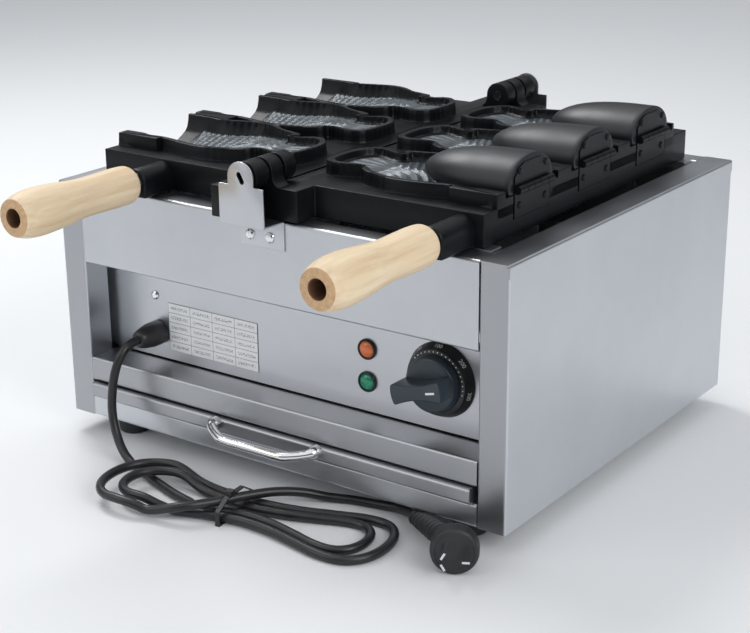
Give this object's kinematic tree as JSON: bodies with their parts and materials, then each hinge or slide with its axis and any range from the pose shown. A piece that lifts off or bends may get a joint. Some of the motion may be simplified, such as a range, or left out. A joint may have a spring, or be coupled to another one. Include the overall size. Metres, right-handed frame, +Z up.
{
  "type": "taiyaki maker",
  "caption": "Countertop cooker with two hinged cast fish-mould plates, fold-out cores, wooden handles, a thermostat and a crumb drawer in a steel cabinet",
  "frame": {"origin": "centre of the object's footprint box on the surface it stands on, without its cord", "axes": "+Z up; -Y is the front with the controls, the drawer and the handles; +X is to the right seen from the front; the plates' hinge axis runs along Y"},
  "size_m": [0.502, 0.619, 0.321],
  "materials": {
    "stainless": "brushed stainless sheet",
    "chrome": "bright plated steel",
    "cast_iron": "seasoned black casting with a soft sheen",
    "wood": "bare turned beech",
    "rubber": "black moulded rubber",
    "cord": "black round mains cord",
    "tie": "black nylon tie",
    "black_plastic": "black moulded plastic",
    "knob": "slate grey moulded plastic",
    "lens_orange": "orange lamp lens",
    "lens_green": "green lamp lens",
    "ceramic": "cream insulating block",
    "copper": "copper capillary and bulb",
    "label": "bare silver label",
    "insulation": "mineral fibre board",
    "wire": "sleeved leads"
  },
  "bodies": {
    "cabinet": {"side_panel_left": "stainless", "side_panel_right": "stainless", "front_apron": "stainless", "rear_apron": "stainless", "control_panel": "stainless", "front_shelf": "stainless", "base_pan": "stainless", "back_panel": "stainless", "heater_well": "stainless", "well_rails": "stainless", "insulation_board": "insulation", "heating_elements": "stainless", "element_supports": "stainless", "plate_rests": "stainless", "hinge_bracket_front": "stainless", "hinge_bracket_back": "stainless", "hinge_pin_front": "chrome", "hinge_pin_back": "chrome", "bracket_screws": "chrome", "cabinet_screws": "chrome", "feet": "rubber", "cord_gland": "rubber", "lamp_bezels": "black_plastic", "lamp_orange": "lens_orange", "lamp_green": "lens_green", "dial_bezel": "black_plastic", "thermostat_body": "ceramic", "thermostat_probe": "copper", "rating_plate": "label", "terminal_block": "ceramic", "wiring": "wire", "drawer_runners": "stainless", "cord_lead": "cord", "cord_hank": "cord", "cord_tail": "cord", "cord_tie": "tie", "plug": "rubber", "plug_pins": "chrome"},
    "knob": {"thermostat_knob": "knob", "thermostat_shaft": "chrome"},
    "drawer": {"drawer_tray": "stainless", "drawer_front": "stainless", "drawer_handle": "chrome"},
    "left_plate": {"left_plate": "cast_iron", "left_knuckles": "cast_iron", "left_handle_rod": "chrome", "left_handle_grip": "wood"},
    "right_plate": {"right_plate": "cast_iron", "right_knuckles": "cast_iron", "right_handle_rod": "chrome", "right_handle_grip": "wood", "core_hinges": "cast_iron", "core_pins": "chrome", "leaf_screws": "chrome"},
    "core_front": {"core_front": "cast_iron", "core_leaf_front": "cast_iron"},
    "core_middle": {"core_middle": "cast_iron", "core_leaf_middle": "cast_iron"},
    "core_back": {"core_back": "cast_iron", "core_leaf_back": "cast_iron"}
  },
  "joints": [
    {"name": "drawer_slide", "type": "slide", "parent": "cabinet", "child": "drawer", "axis": [0, -1, 0], "range_m": [0, 0.3], "deforming": ["cord_lead"]},
    {"name": "thermostat_turn", "type": "hinge", "parent": "cabinet", "child": "knob", "pos_m": [0.163, -0.1295, 0.1295], "axis": [0, 1, 0], "range_deg": [-200, 10]},
    {"name": "left_plate_fold", "type": "hinge", "parent": "cabinet", "child": "left_plate", "pos_m": [0, 0.071, 0.297], "axis": [0, 1, 0], "range_deg": [0, 180]},
    {"name": "right_plate_fold", "type": "hinge", "parent": "cabinet", "child": "right_plate", "pos_m": [0, 0.071, 0.297], "axis": [0, -1, 0], "range_deg": [0, 180]},
    {"name": "core_front_fold", "type": "hinge", "parent": "right_plate", "child": "core_front", "pos_m": [0.2129, -0.039, 0.29475], "axis": [0, 1, 0], "range_deg": [0, 160]},
    {"name": "core_middle_fold", "type": "hinge", "parent": "right_plate", "child": "core_middle", "pos_m": [0.2129, 0.071, 0.29475], "axis": [0, 1, 0], "range_deg": [0, 160]},
    {"name": "core_back_fold", "type": "hinge", "parent": "right_plate", "child": "core_back", "pos_m": [0.2129, 0.181, 0.29475], "axis": [0, 1, 0], "range_deg": [0, 160]}
  ]
}
